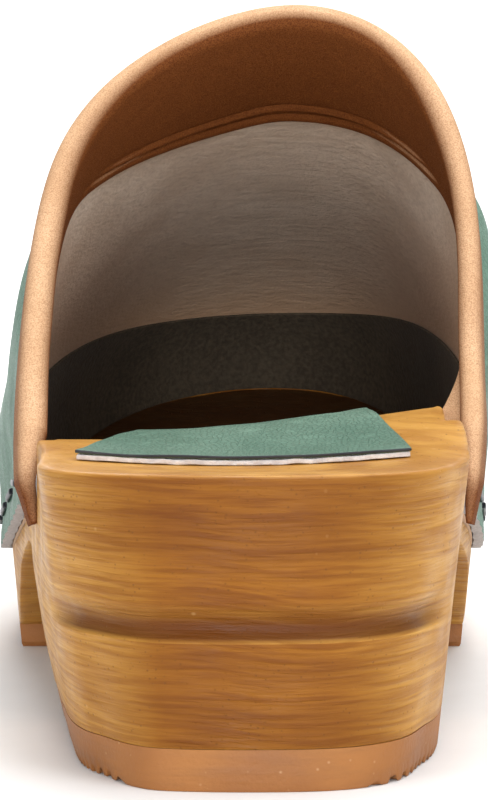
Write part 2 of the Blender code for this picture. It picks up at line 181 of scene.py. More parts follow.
def smooth(value, start, end):
    """0 before start, 1 after end, and an even S between them."""
    t = np.clip((np.asarray(value, float) - start) / (end - start), 0, 1)
    return t * t * (3 - 2 * t)


def bump(value, start, middle, end):
    return smooth(value, start, middle) * (1 - smooth(value, middle, end))


def ridge(value, middle, width):
    """A rounded ridge of height 1 and of that half width."""
    return np.exp(-(((np.asarray(value, float) - middle) / width) ** 2))


def waves(seed, length, *axes):
    """Soft uneven waves, about -1 to 1, of roughly that length, over arrays of coordinates."""
    rng = np.random.default_rng(seed)
    total = 0
    for _ in range(9):
        direction = rng.normal(size=len(axes))
        direction *= rng.uniform(0.6, 1.6) / np.linalg.norm(direction)
        far = sum(d * x for d, x in zip(direction, axes))
        total = total + np.sin(2 * np.pi / length * far + rng.uniform(0, 7))
    return total / 5


def curve_through(points, closed=False, steps=48):
    """Points close together on a curve of continuous curvature through the given ones."""
    p = np.array(points, float)
    if closed:
        p = np.vstack([p, p[:1]])
    span = np.diff(p, axis=0)
    h = np.linalg.norm(span, axis=1)
    n = len(p)
    a, b = np.zeros((n, n)), np.zeros_like(p)
    for i in range(n):
        before, after = (i - 1) % (n - 1), i % (n - 1)
        if closed or 0 < i < n - 1:
            a[i, i - 1 if i > 0 else n - 2] += 1 / h[before]
            a[i, i + 1 if i < n - 1 else 1] += 1 / h[after]
            a[i, i] += 2 / h[before] + 2 / h[after]
            b[i] = 3 * (span[before] / h[before] ** 2 + span[after] / h[after] ** 2)
        else:
            a[i, i], a[i, 1 if i == 0 else n - 2] = 2, 1
            b[i] = 3 * span[0 if i == 0 else n - 2] / h[0 if i == 0 else n - 2]
    slope = np.linalg.solve(a, b)
    t = np.linspace(0, 1, steps, endpoint=False)[:, None]
    pieces = [
        (2 * t**3 - 3 * t**2 + 1) * p[i]
        + (t**3 - 2 * t**2 + t) * h[i] * slope[i]
        + (3 * t**2 - 2 * t**3) * p[i + 1]
        + (t**3 - t**2) * h[i] * slope[i + 1]
        for i in range(n - 1)
    ]
    return np.vstack([*pieces, p[-1:]])


def spread(line, t):
    """The points at shares t, 0 to 1, of a line's length."""
    far = np.concatenate([[0], np.cumsum(np.linalg.norm(np.diff(line, axis=0), axis=1))])
    return np.stack([np.interp(np.asarray(t) * far[-1], far, axis) for axis in line.T], axis=-1)


def height_of(points):
    """A function from y to z, in metres, through points in mm."""
    line = curve_through(points) * MM
    return lambda y: np.interp(y, line[:, 0], line[:, 1])


# The sole's surfaces.

PLAN = curve_through(OUTLINE, closed=True) * MM
TOP = curve_through(TOP_LINE) * MM
foot_bed_height = height_of(FOOT_BED)
ledge_height = height_of(LEDGE)
breast_height = height_of(HEEL_BREAST)
spring_height = height_of(TOE_SPRING)


def underside_height(y):
    """Height of the wood's underside, where the rubber and the air meet it."""
    y = np.asarray(y, float)
    low = np.where(y < TOE_SPRING[0][0] * MM, breast_height(y), spring_height(y))
    return np.where(y < HEEL_BREAST[0][0] * MM, HEEL_RUBBER, low)


def outline(t, inset=0.0):
    """Points x, y on the sole's outline at shares t of its length, moved inwards by inset."""
    step = 0.0005
    t = np.asarray(t, float)
    along = spread(PLAN, (t + step) % 1) - spread(PLAN, (t - step) % 1)
    along /= np.linalg.norm(along, axis=-1, keepdims=True)
    inwards = np.stack([along[..., 1], -along[..., 0]], axis=-1)
    return spread(PLAN, t % 1) + inwards * np.asarray(inset)[..., None]


def share_at(y, start, end):
    """The share of the outline's length where it passes y, between two shares."""
    t = np.linspace(start, end, 4000)
    return t[np.argmin(np.abs(spread(PLAN, t)[:, 1] - y))]


def side_inset(x, y, z):
    """How far the side of the wood is inside the outline: its taper and the groove round the heel."""
    corner = np.maximum(smooth(y, 0, 20 * MM), smooth(-x, 12 * MM, 28 * MM))
    sides = BACK_TAPER_SHARE + (1 - BACK_TAPER_SHARE) * corner
    lean = HEEL_LEAN * np.clip(x / HALF_HEEL, -1, 1)
    straight = (HEEL_TAPER - lean) * sides * np.clip(1 - z / HEEL_HEIGHT, 0, 1.1)
    curved = FLARE * np.clip(1 - z / FLARE_TOP, 0, 1.2) ** 1.4
    outer = smooth(-x, 22 * MM, 30 * MM) * smooth(y, 14 * MM, 44 * MM)
    heel = straight * (1 - outer) + curved * outer
    front = FOREFOOT_TAPER * np.clip(1 - z / FOREFOOT_TAPER_TOP, 0, 1.2)
    share = smooth(y, 55 * MM, 115 * MM)
    up_groove = np.clip((z - GROOVE_BOTTOM) / (GROOVE_TOP - GROOVE_BOTTOM), 0, 1)
    groove = GROOVE_DEPTH * np.sin(np.pi * up_groove**0.7)
    return heel * (1 - share) + front * share + groove * (1 - smooth(y, 14 * MM, 30 * MM))


def foot_bed(x, y):
    """Height of the foot bed: dished under the heel, and raised under the arch on the inner side."""
    dish = SEAT_DISH * np.clip(1 - (x / (30 * MM)) ** 2, 0, 1) * bump(y, 2 * MM, 32 * MM, 66 * MM)
    arch = ARCH_RISE * smooth(x, -20 * MM, 56 * MM) * bump(y, 34 * MM, 80 * MM, 135 * MM)
    return foot_bed_height(y) - dish + arch


TOE_SHARE = 0.3 + 0.4 * np.argmax(spread(PLAN, np.linspace(0.3, 0.7, 2000))[:, 1]) / 1999


# The upper's surface: a runs from 0 at its outer corner round the toe to 1 at its inner corner, and b from
# 0 at its lower edge to 1 at the top line.

FIRST_SHARE = share_at(UPPER_START, 0.0, 0.4)
LAST_SHARE = share_at(UPPER_START, 0.6, 1.0)


def from_corner(a):
    """0 at both rear corners of the upper, and 0.5 at the toe."""
    return np.minimum(a, 1 - np.asarray(a, float))


def upper(a, b):
    """Points on the outside of the leather, one row for each b and one column for each a."""
    a, b = np.asarray(a, float), np.asarray(b, float)[:, None, None]
    room = LINING_DEPTH + LINING + WALL_GAP + (1 - smooth(from_corner(a), 0.12, 0.26)) * (BINDING + GAP)
    flat = outline(FIRST_SHARE + a * (LAST_SHARE - FIRST_SHARE), RABBET - room)
    low = np.column_stack([flat, ledge_height(flat[:, 1]) + GAP])
    top = spread(TOP, a)
    wall = low + np.outer(np.minimum(WALL_HEIGHT, 0.4 * (top - low)[:, 2]), (0, 0, 1))
    reach = np.linalg.norm(top - wall, axis=1)[:, None]
    middle = np.sin(np.pi * a) ** 2
    side = np.where(a < 0.5, -1, 1) * (1 - middle)
    up = np.column_stack([0.15 * side, 0.06 * (1 - middle), np.ones_like(a)])
    down = np.column_stack([0.22 * side, 0.25 + 0.62 * middle, 0.42 * middle - 1])
    first = wall + up * reach * (0.34 - 0.10 * middle[:, None])
    second = top + down * reach * (0.30 + 0.12 * middle[:, None])
    t = (b - WALL_SHARE) / (1 - WALL_SHARE)
    over = (1 - t) ** 3 * wall + 3 * t * (1 - t) ** 2 * first + 3 * t * t * (1 - t) * second + t**3 * top
    return np.where(b < WALL_SHARE, low + (wall - low) * b / WALL_SHARE, over)


def unit(v):
    return v / np.linalg.norm(v, axis=-1, keepdims=True)


class Upper:
    """The outside of the leather as columns of close points, with its normals and its lengths."""

    def __init__(self, columns, rows=161):
        self.a = np.asarray(columns, float)
        b = np.linspace(0, 1, rows)
        step = 0.003
        self.points = upper(self.a, b)
        along = upper(np.minimum(self.a + step, 1), b) - upper(np.maximum(self.a - step, 0), b)
        up = upper(self.a, np.minimum(b + step, 1)) - upper(self.a, np.maximum(b - step, 0))
        self.along = unit(along)
        self.out = unit(np.cross(up, along))
        lengths = np.linalg.norm(np.diff(self.points, axis=0), axis=2)
        self.height = np.vstack([np.zeros(len(self.a)), np.cumsum(lengths, axis=0)])
        self.length = self.height[-1]

    def at(self, heights, depth=0.0):
        """Points at heights above the lower edge (rows by columns), a depth under the outside."""
        depth = np.broadcast_to(depth, heights.shape)
        made = np.empty((*heights.shape, 3))
        for j in range(len(self.a)):
            for k in range(3):
                place = np.interp(heights[:, j], self.height[:, j], self.points[:, j, k])
                out = np.interp(heights[:, j], self.height[:, j], self.out[:, j, k])
                made[:, j, k] = place - depth[:, j] * out
        return made

    def height_of_level(self, z):
        """The lengths up the leather at which each column reaches its own level z."""
        columns = range(len(self.a))
        return np.array([np.interp(z[j], self.points[:, j, 2], self.height[:, j]) for j in columns])


# Mesh building.


def piece(name, data, looks, slot, *replaced):
    """An object at the frame's origin that rides on the one body and stands for CAD nodes."""
    made = bpy.data.objects.new(name, data)
    bpy.context.scene.collection.objects.link(made)
    for look in looks:
        data.materials.append(look)
    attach(made, "root")
    if replaced:
        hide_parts(*replaced)
    return made


def mesh_of(points, faces, sharp=40):
    mesh = bpy.data.meshes.new("form")
    mesh.from_pydata((np.asarray(points).reshape(-1, 3) + np.array(HEEL_BACK)).tolist(), [], faces)
    mesh.shade_smooth()
    if sharp:
        mesh.set_sharp_from_angle(angle=math.radians(sharp))
    return mesh


def sheet_mesh(points):
    """An open sheet through rows of points."""
    rows, columns = points.shape[:2]
    index = np.arange(rows * columns).reshape(rows, columns)
    corners = (index[:-1, :-1], index[:-1, 1:], index[1:, 1:], index[1:, :-1])
    return mesh_of(points, np.stack([c.ravel() for c in corners], axis=1).tolist(), None)


def thicken(made, thickness, edge, rim=0, outer=0, edges=-1):
    """Gives a sheet its thickness towards its inner side, with rounded edges."""
    shell = made.modifiers.new("thickness", "SOLIDIFY")
    shell.thickness = thickness
    shell.offset = 1
    shell.material_offset_rim = rim
    shell.material_offset = outer
    soft = made.modifiers.new("edges", "BEVEL")
    soft.width = edge
    soft.segments = 3
    soft.limit_method = "ANGLE"
    soft.angle_limit = math.radians(55)
    soft.material = edges


def shares(count, first_y=None, last_y=None):
    """Shares of the outline up its outer side and up its inner side, from the heel to the toe."""
    outer, inner = [0.0, TOE_SHARE], [1.0, TOE_SHARE]
    for place, y in enumerate((first_y, last_y)):
        if y is not None:
            outer[place] = share_at(y, 0, TOE_SHARE)
            inner[place] = share_at(y, TOE_SHARE, 1)
    return np.linspace(*outer, count), np.linspace(*inner, count)


def snap(line, y):
    """Moves two neighbouring shares to just before and just after a y, for a crisp step there."""
    here = np.argmin(np.abs(spread(PLAN, line % 1)[:, 1] - y))
    exact = share_at(y, *sorted((line[here - 1], line[here + 1])))
    turn = 1e-4 * np.sign(line[here + 1] - line[here])
    line[here], line[here + 1] = exact - turn, exact + turn


def carved(outer, inner, levels, top, bottom, across):
    """A closed form: levels(t) gives its side's rings at shares t, top and bottom its caps' heights."""
    closed_front = abs(outer[-1] - inner[-1]) < 1e-9
    closed_rear = abs((inner[0] - outer[0]) % 1) < 1e-9
    back = inner[::-1][1 if closed_front else 0 : -1 if closed_rear else None]
    rings = levels(np.concatenate([outer, back]))
    count = rings.shape[1]
    points = [rings.reshape(-1, 3)]
    total = rings.shape[0] * count
    index = np.arange(total).reshape(-1, count)
    faces = []
    for low, high in zip(index, index[1:]):
        for i in range(count):
            j = (i + 1) % count
            faces.append((low[i], high[i], high[j], low[j]))
    shift = 0 if closed_rear else -1
    s = np.linspace(0, 1, across + 1)[1:-1]
    for ring, height, upward in ((index[-1], top, True), (index[0], bottom, False)):
        place = rings[-1] if upward else rings[0]
        rows = []
        for k in range(len(outer)):
            left, right = k, (count - k + shift) % count
            if left == right:
                rows.append([ring[left]] * (across + 1))
                continue
            flat = place[left, :2] + np.outer(s, place[right, :2] - place[left, :2])
            points.append(np.column_stack([flat, height(flat[:, 0], flat[:, 1])]))
            rows.append([ring[left], *range(total, total + len(s)), ring[right]])
            total += len(s)
        for near, far in zip(rows, rows[1:]):
            for i in range(across):
                face = dict.fromkeys((near[i], near[i + 1], far[i + 1], far[i]))
                faces.append(tuple(face) if upward else tuple(face)[::-1])
    return mesh_of(np.vstack(points), [tuple(map(int, f)) for f in faces if len(f) > 2])


def tube_mesh(path, side, up, radii, sides=12, power=1.0):
    """A closed tube along a path, with an elliptical section of radii along side and up."""
    angle = 2 * np.pi * np.arange(sides) / sides
    c, s = np.cos(angle), np.sin(angle)
    c, s = np.sign(c) * np.abs(c) ** power, np.sign(s) * np.abs(s) ** power
    radii = np.broadcast_to(radii, (len(path), 2))
    sideways = (side * radii[:, :1])[:, None] * c[:, None]
    rings = path[:, None] + sideways + (up * radii[:, 1:])[:, None] * s[:, None]
    index = np.arange(rings.shape[0] * sides).reshape(-1, sides)
    faces = [
        (int(low[i]), int(low[(i + 1) % sides]), int(high[(i + 1) % sides]), int(high[i]))
        for low, high in zip(index, index[1:])
        for i in range(sides)
    ]
    faces += [tuple(map(int, index[0][::-1])), tuple(map(int, index[-1]))]
    return rings, faces


# Materials.


class Look:
    """A material built from nodes, in the coordinates of the frame."""

    def __init__(self, name, **sockets):
        self.material = bpy.data.materials.new(name)
        self.material.use_nodes = True
        self.tree = self.material.node_tree
        self.shader = self.tree.nodes["Principled BSDF"]
        for socket, value in sockets.items():
            self.shader.inputs[socket.replace("_", " ")].default_value = value
        self.place = self.node("ShaderNodeTexCoord").outputs["Object"]

    def node(self, kind, inputs=(), **settings):
        """A node whose inputs, by name or number, are values or other nodes' outputs."""
        made = self.tree.nodes.new(kind)
        for key, value in settings.items():
            setattr(made, key, value)
        for key, value in dict(inputs).items():
            if isinstance(value, bpy.types.NodeSocket):
                self.tree.links.new(value, made.inputs[key])
            else:
                made.inputs[key].default_value = value
        return made

    def scaled(self, x, y, z):
        return self.node("ShaderNodeMapping", {"Vector": self.place, "Scale": (x, y, z)}).outputs[0]

    def noise(self, size, detail=3, vector=None, distortion=0.0):
        """Noise from 0 to 1 with features of about that size, in metres."""
        inputs = {"Vector": vector or self.place, "Scale": 1 / size}
        inputs |= {"Detail": detail, "Distortion": distortion}
        return self.node("ShaderNodeTexNoise", inputs).outputs["Fac"]

    def cells(self, size, feature="F1", vector=None):
        inputs = {"Vector": vector or self.place, "Scale": 1 / size}
        return self.node("ShaderNodeTexVoronoi", inputs, feature=feature).outputs["Distance"]

    def math(self, operation, a, b=0.0):
        return self.node("ShaderNodeMath", {0: a, 1: b}, operation=operation).outputs[0]

    def within(self, value, low, high, to_low=0.0, to_high=1.0):
        inputs = {"Value": value, "From Min": low, "From Max": high, "To Min": to_low, "To Max": to_high}
        return self.node("ShaderNodeMapRange", inputs).outputs["Result"]

    def mix(self, share, a, b, blend="MIX"):
        """Colour a turning to colour b as share goes from 0 to 1."""
        a, b = ((*c, 1) if isinstance(c, tuple) else c for c in (a, b))
        made = self.node("ShaderNodeMix", {0: share, 6: a, 7: b}, data_type="RGBA", blend_type=blend)
        return made.outputs[2]

    def relief(self, height, distance, below=None):
        """Bump of that height in metres, on top of another bump."""
        inputs = {"Height": height, "Distance": distance}
        if below:
            inputs["Normal"] = below
        return self.node("ShaderNodeBump", inputs).outputs["Normal"]

    def parts(self, vector):
        return self.node("ShaderNodeSeparateXYZ", {0: vector}).outputs

    def facing(self, axis):
        """How far the surface faces along an axis, -1 to 1."""
        return self.parts(self.node("ShaderNodeNewGeometry").outputs["Normal"])[axis]

    def finish(self, colour, roughness=None, normal=None):
        for socket, value in (("Base Color", colour), ("Roughness", roughness), ("Normal", normal)):
            if value is not None:
                self.tree.links.new(value, self.shader.inputs[socket])
        return self.material


def alder():
    """Lacquered alder: thin growth layers lying flat in the block, end grain darker than the sides, partly
    its own colour and partly painted shade.
    """
    look = Look("alder", Specular_IOR_Level=0.2)
    x, y, z = look.parts(look.place)
    back, up = look.math("ABSOLUTE", look.facing(1)), look.facing(2)
    bend = look.noise(0.05, 2, look.scaled(1, 0.25, 1))
    level = look.math("ADD", z, look.within(bend, 0, 1, -0.005, 0.005))
    across, along = look.math("MULTIPLY", x, 0.06), look.math("MULTIPLY", y, 0.03)
    layers = look.node("ShaderNodeCombineXYZ", {0: across, 1: along, 2: level}).outputs[0]
    wide = look.noise(0.0048, 4, layers)
    fine = look.noise(0.0009, 5, layers)
    fibre = look.noise(0.0007, 3, look.scaled(0.05, 0.05, 1.2))
    cloud = look.noise(0.018, 3)
    side = look.mix(look.within(wide, 0.25, 0.75), (0.50, 0.235, 0.040), (0.69, 0.38, 0.088))
    # Wood facing back or forward: darker end grain, deepened with painted shade.
    end_grain_and_shade = look.mix(look.within(wide, 0.25, 0.75), (0.215, 0.070, 0.0040), (0.33, 0.122, 0.0090))
    colour = look.mix(look.within(back, 0.35, 1), side, end_grain_and_shade)
    dark = look.mix(1.0, colour, (0.60, 0.46, 0.30), "MULTIPLY")
    colour = look.mix(look.within(fine, 0.45, 0.62, 0, 0.6), colour, dark)
    colour = look.mix(look.within(fibre, 0.48, 0.72, 0, 0.55), colour, dark)
    colour = look.mix(look.within(cloud, 0.42, 0.68, 0, 0.4), colour, dark)
    from_heel = look.math("SUBTRACT", y, HEEL_BACK.y)
    # Painted shade: a dark band in the groove round the back of the heel.
    lower = look.within(z, GROOVE_BOTTOM - 0.2 * MM, GROOVE_BOTTOM + 0.4 * MM)
    upper_part = look.within(z, GROOVE_TOP + 0.2 * MM, GROOVE_TOP - 3.4 * MM)
    round_heel = look.within(from_heel, 26.9 * MM, 14.9 * MM, 0, 0.85)
    groove = look.math("MULTIPLY", look.math("MULTIPLY", lower, upper_part), round_heel)
    colour = look.mix(groove, colour, (0.12, 0.032, 0.004))
    # Painted shade: the foot bed darkens under the toes, deep inside the toe box.
    in_toe = look.within(from_heel, 70.9 * MM, 116.9 * MM, 0, 0.93)
    toe_box_shade = look.math("MULTIPLY", look.within(up, 0.4, 0.8), in_toe)
    colour = look.mix(toe_box_shade, colour, (0.045, 0.016, 0.007))
    flecks = look.within(look.cells(0.0042), 0.03, 0.12, 1, 0)
    chosen = look.within(look.noise(0.008, 1), 0.56, 0.64, 0, 0.5)
    colour = look.mix(look.math("MULTIPLY", flecks, chosen), colour, (0.72, 0.45, 0.20))
    pores = look.within(look.cells(0.0010, vector=look.scaled(1, 0.35, 1)), 0.0, 0.22, 1, 0)
    rare = look.within(look.noise(0.004, 2), 0.46, 0.60, 0, 0.7)
    colour = look.mix(look.math("MULTIPLY", pores, rare), colour, (0.12, 0.045, 0.01))
    rough = look.within(look.noise(0.007, 3), 0.3, 0.7, 0.36, 0.58)
    grain = look.relief(fine, 0.0004)
    grain = look.relief(fibre, 0.00022, grain)
    return look.finish(colour, rough, look.relief(pores, -0.00006, grain))


def rubber():
    """Brown rubber with pale specks and level grinding marks."""
    look = Look("brown_rubber")
    cloud = look.noise(0.018, 4)
    colour = look.mix(look.within(cloud, 0.35, 0.7), (0.32, 0.118, 0.026), (0.42, 0.17, 0.042))
    lines = look.noise(0.0016, 3, look.scaled(0.12, 0.12, 1))
    colour = look.mix(look.within(lines, 0.5, 0.75, 0, 0.35), colour, (0.24, 0.10, 0.035))
    specks = look.within(look.cells(0.0025), 0, 0.12, 0.6, 0)
    colour = look.mix(specks, colour, (0.62, 0.38, 0.2))
    rough = look.within(cloud, 0.3, 0.7, 0.5, 0.72)
    return look.finish(colour, rough, look.relief(look.noise(0.0007, 3), 0.00012, look.relief(lines, 0.0002)))


def green_leather(name, light=1.0):
    """Green grain leather: fine pebbled cells, soft creases and paler worn patches."""
    look = Look(name, Specular_IOR_Level=0.35)
    cloud = look.noise(0.022, 4)
    low, high = ([light * c for c in tone] for tone in ((0.098, 0.195, 0.140), (0.160, 0.275, 0.205)))
    colour = look.mix(look.within(cloud, 0.35, 0.68), tuple(low), tuple(high))
    grain = look.cells(0.0009, "DISTANCE_TO_EDGE", look.scaled(1, 0.8, 1))
    valley = look.within(grain, 0, 0.16, 1, 0)
    colour = look.mix(look.math("MULTIPLY", valley, 0.45), colour, tuple(0.55 * c for c in low))
    worn = look.within(look.noise(0.0045, 5), 0.58, 0.72, 0, 0.35)
    colour = look.mix(worn, colour, tuple(1.45 * c for c in high))
    rough = look.within(look.noise(0.009, 3), 0.3, 0.7, 0.42, 0.6)
    creases = look.noise(0.006, 3, distortion=0.6)
    normal = look.relief(valley, -0.00009, look.relief(creases, 0.0004))
    return look.finish(colour, rough, look.relief(look.noise(0.0003, 2), 0.00004, normal))


def suede(name, dark, light, size=0.0007, sheen=0.25):
    """A napped surface: cut or split leather, felt, foam or fleece, mottled at its own scale."""
    look = Look(name, Sheen_Weight=sheen, Sheen_Roughness=0.4, Specular_IOR_Level=0.2)
    nap = look.noise(size, 4)
    cloud = look.noise(size * 22, 3)
    colour = look.mix(look.within(look.mix(0.35, nap, cloud), 0.38, 0.62), dark, light)
    rough = look.within(nap, 0.3, 0.7, 0.82, 0.98)
    return look.finish(colour, rough, look.relief(nap, size * 0.35))


def split_lining():
    """Pale split leather: fine wrinkles across the foot, a soft nap, and painted warm light bounced from the
    wood low down.
    """
    look = Look("split_lining", Sheen_Weight=0.1, Sheen_Roughness=0.4, Specular_IOR_Level=0.15)
    nap, cloud = look.noise(0.0007, 4), look.noise(0.016, 3)
    wrinkles = look.noise(0.0008, 3, look.scaled(0.12, 0.3, 1))
    colour = look.mix(look.within(cloud, 0.35, 0.65), (0.70, 0.575, 0.46), (0.84, 0.72, 0.60))
    colour = look.mix(look.within(wrinkles, 0.45, 0.7, 0, 0.4), colour, (0.54, 0.44, 0.35))
    colour = look.mix(look.within(nap, 0.48, 0.66, 0, 0.35), colour, (0.52, 0.41, 0.31))
    # Painted bounce light: the lining turns warm brown low down, as if lit by the wood.
    z = look.parts(look.place)[2]
    colour = look.mix(look.within(z, 0.088, 0.062, 0, 0.75), colour, (0.62, 0.36, 0.19))
    rough = look.within(nap, 0.3, 0.7, 0.8, 0.96)
    return look.finish(colour, rough, look.relief(nap, 0.0002, look.relief(wrinkles, 0.0003)))


def tan_leather():
    """Soft tan leather with a fine grain and pores, and painted shade where it doesn't face up."""
    look = Look("tan_leather", Specular_IOR_Level=0.15)
    cloud = look.noise(0.014, 3)
    nap = look.noise(0.00024, 4)
    colour = look.mix(look.within(cloud, 0.35, 0.7), (0.68, 0.42, 0.24), (0.82, 0.53, 0.32))
    colour = look.mix(look.within(nap, 0.42, 0.64, 0, 0.6), colour, (0.44, 0.205, 0.085))
    # Painted shade, warm like light bounced off the wood, where the leather turns away from the light above.
    shade = look.mix(look.within(nap, 0.4, 0.62), (0.215, 0.068, 0.015), (0.125, 0.033, 0.007))
    colour = look.mix(look.within(look.facing(2), 0.62, -0.05, 0, 1), colour, shade)
    pores = look.within(look.cells(0.0011), 0, 0.2, 1, 0)
    colour = look.mix(look.math("MULTIPLY", pores, 0.4), colour, (0.30, 0.12, 0.04))
    rough = look.within(nap, 0.3, 0.7, 0.62, 0.85)
    normal = look.relief(nap, 0.00022, look.relief(look.noise(0.0035, 3), 0.0003))
    return look.finish(colour, rough, look.relief(pores, -0.00008, normal))


def plain(name, colour, roughness, metal=0.0, size=0.001, depth=0.00005):
    """A small part's finish: one colour with a little mottling and texture."""
    look = Look(name, Metallic=metal)
    mottle = look.noise(size, 3)
    tone = look.mix(look.within(mottle, 0.35, 0.65), tuple(0.7 * c for c in colour), colour)
    rough = look.within(look.noise(size * 4, 2), 0.3, 0.7, roughness - 0.08, roughness + 0.08)
    return look.finish(tone, rough, look.relief(mottle, depth))


ALDER = alder()
RUBBER = rubber()
GREEN = green_leather("green_leather")
LABEL_GREEN = green_leather("label_leather", 0.95)
CUT_EDGE = plain("dyed_edge", (0.018, 0.022, 0.032), 0.6)
CUT_FLESH = suede("cut_leather", (0.30, 0.27, 0.26), (0.46, 0.43, 0.42), 0.0006)
FLESH = suede("leather_flesh", (0.24, 0.235, 0.23), (0.40, 0.385, 0.375))
SPLIT = split_lining()
# The toe felt is a real stiffener, and its dark colour is partly painted shade over the toes.
FELT = suede("toe_felt", (0.066, 0.051, 0.036), (0.112, 0.090, 0.062), 0.001, 0.05)
TAN = tan_leather()
FOAM = suede("collar_foam", (0.30, 0.30, 0.31), (0.62, 0.62, 0.62), 0.0013)
FLEECE = suede("white_fleece", (0.62, 0.60, 0.62), (0.90, 0.89, 0.90), 0.0016)
STEEL = plain("black_steel", (0.022, 0.023, 0.028), 0.36, 0.85, 0.002)


# The wood and the rubber under it.


def wooden_sole():
    outer, inner = shares(430)
    snap(outer, RABBET_START)
    snap(inner, RABBET_START)

    def levels(t):
        plan = outline(t)
        x, y = plan.T
        low = underside_height(y)
        cut = y > RABBET_START
        shelf = np.minimum(ledge_height(y), foot_bed(x, y) - 3 * RIM)
        core = outline(t, np.full(len(t), RABBET))
        rings = []

        def ring(z, inset):
            rings.append(np.column_stack([outline(t, inset), z]))

        def side(z):
            return side_inset(x, y, z) + 0.12 * MM * waves(5, 0.024, x, y, z)

        for share in (0, 0.35, 1):
            z = low + 0.3 * MM * share
            ring(z, side(z) + 0.2 * MM * (1 - share) ** 2)
        for share in np.linspace(0, 1, 49)[1:]:
            z = low + 0.3 * MM + (shelf - low - 0.3 * MM) * share
            ring(z, side(z))
        wall = lambda z: np.where(cut, RABBET, side(z))
        ring(shelf + 0.05 * MM, wall(shelf + 0.05 * MM))
        bed = foot_bed(*core.T)
        for share in np.linspace(0, 1, 13)[1:]:
            z = shelf + 0.05 * MM + (bed - RIM - shelf - 0.05 * MM) * share
            ring(z, wall(z))
        dents = 0.14 * MM * waves(6, 0.009, x, y)
        for angle in np.radians((22, 45, 68, 90)):
            z = bed - RIM * (1 - math.sin(angle))
            ring(z, wall(bed - RIM) + RIM * (1 - math.cos(angle)) + dents * math.sin(angle))
        return np.array(rings)

    sole = carved(outer, inner, levels, foot_bed, lambda x, y: underside_height(y), 96)
    piece("carved_sole", sole, [ALDER], "alder_wood", "wooden_sole")


def ribs(y):
    """How far the tread rises between its ribs, which run across the sole."""
    share = (y / TREAD_PITCH) % 1
    return TREAD_DEPTH * smooth(0.5 - np.abs(share - 0.5), 0.16, 0.34) * smooth(y, 3 * MM, 5 * MM)


def outsole(name, node, slot, first, last, rows, base, thickness):
    """A rubber sheet cut to the wood's outline, with transverse ribs under it and slight bevels."""
    outer, inner = shares(rows, first, last)

    def levels(t):
        x, y = outline(t).T
        low = base(y)
        rings = []
        for share, extra in ((0, 0.2), (0.1, 0), (0.5, 0), (0.9, 0), (1, 0.05)):
            z = low + ribs(y) + (thickness - SEAM - ribs(y)) * share
            rings.append(np.column_stack([outline(t, side_inset(x, y, z) + extra * MM), z]))
        return np.array(rings)

    top = lambda x, y: base(y) + thickness - SEAM
    under = lambda x, y: base(y) + ribs(y)
    piece(name, carved(outer, inner, levels, top, under, 24), [RUBBER], slot, node)


def outsoles():
    heel_end = HEEL_BREAST[0][0] * MM - GAP
    outsole("ribbed_heel", "heel_outsole", "heel_rubber", None, heel_end, 300, lambda y: 0 * y, HEEL_RUBBER)
    spring_start = TOE_SPRING[0][0] * MM
    rise = lambda y: np.maximum(spring_height(np.maximum(y, spring_start)) - FOREFOOT_RUBBER, 0)
    outsole(
        "ribbed_forefoot", "forefoot_outsole", "forefoot_rubber",
        FOREFOOT_RUBBER_START + GAP, None, 420, rise, FOREFOOT_RUBBER,
    )


# The upper.

COLUMNS = 361
SKIN = Upper(np.linspace(0, 1, COLUMNS))
STAPLE_PLACES = STAPLE_FIRST + (1 - 2 * STAPLE_FIRST) * np.arange(STAPLES) / (STAPLES - 1)


def leather_relief(heights):
    """How far the leather's outside sinks: in at the staples, out beside the collar, and softly uneven."""
    a = np.broadcast_to(SKIN.a, heights.shape)
    around = a * ROUND_THE_TOE
    sink = 0.25 * MM * waves(3, 0.045, around, heights) * smooth(heights, 0, 20 * MM)
    nearest = np.abs(a[..., None] - STAPLE_PLACES).min(axis=-1) * ROUND_THE_TOE
    below = ridge(heights, STAPLE_LIFT, 2.2 * MM)
    sink += 0.45 * MM * below * (1 - smooth(nearest, 4.2 * MM, 7 * MM))
    share = heights / SKIN.length
    full = 0.7 * bump(a, 0.08, 0.24, 0.4) + bump(a, 0.56, 0.72, 0.92)
    sink -= BULGE * full * bump(share, 0.5, 0.86, 0.955)
    sink += ROLL_TUCK * smooth(a, 0.6, 0.75) * smooth(share, 0.87, 0.94)
    sink += 0.18 * MM * np.cos(2 * np.pi * nearest / (7.4 * MM)) * ridge(heights, STAPLE_LIFT, 9 * MM)
    return sink


def vamp():
    tops = SKIN.length - TOP_TRIM
    heights = np.linspace(0, 1, 130)[:, None] * tops
    outside = SKIN.at(heights, leather_relief(heights))
    looks = [FLESH, CUT_FLESH, GREEN, CUT_EDGE]
    leather = piece("shaped_vamp", sheet_mesh(outside), looks, "green_leather", "vamp_leather")
    thicken(leather, LEATHER, 0.35 * MM, rim=1, outer=2, edges=3)

    heights = np.linspace(0, 1, 70)[:, None] * tops
    inside = sheet_mesh(SKIN.at(heights, LINING_DEPTH - 0.1 * MM))
    lining = piece("soft_lining", inside, [SPLIT], "lining_leather", "vamp_lining")
    thicken(lining, LINING, 0.3 * MM)


def toe_stiffener():
    """A felt stiffener inside the lining, from the foot bed up to a curved edge over the toes."""
    inside = Upper(np.linspace(PUFF_START, 1 - PUFF_START, 181))
    share = (inside.a - PUFF_START) / (1 - 2 * PUFF_START)
    x, y = inside.points[0, :, 0], inside.points[0, :, 1]
    low = inside.height_of_level(foot_bed(x, y) - 1.5 * MM)
    level = PUFF_LEVEL + PUFF_SLANT * share + PUFF_RISE * np.sin(np.pi * share)
    high = inside.height_of_level(level)
    heights = low + (high - low) * np.linspace(0, 1, 60)[:, None]
    depth = LINING_DEPTH + LINING + 0.1 * MM
    # Its dark felt and curved upper edge also paint the line of shade over the toes.
    puff = piece("felt_toe_puff", sheet_mesh(inside.at(heights, depth)), [FELT], "toe_felt", "toe_puff")
    thicken(puff, TOE_PUFF, 0.3 * MM)


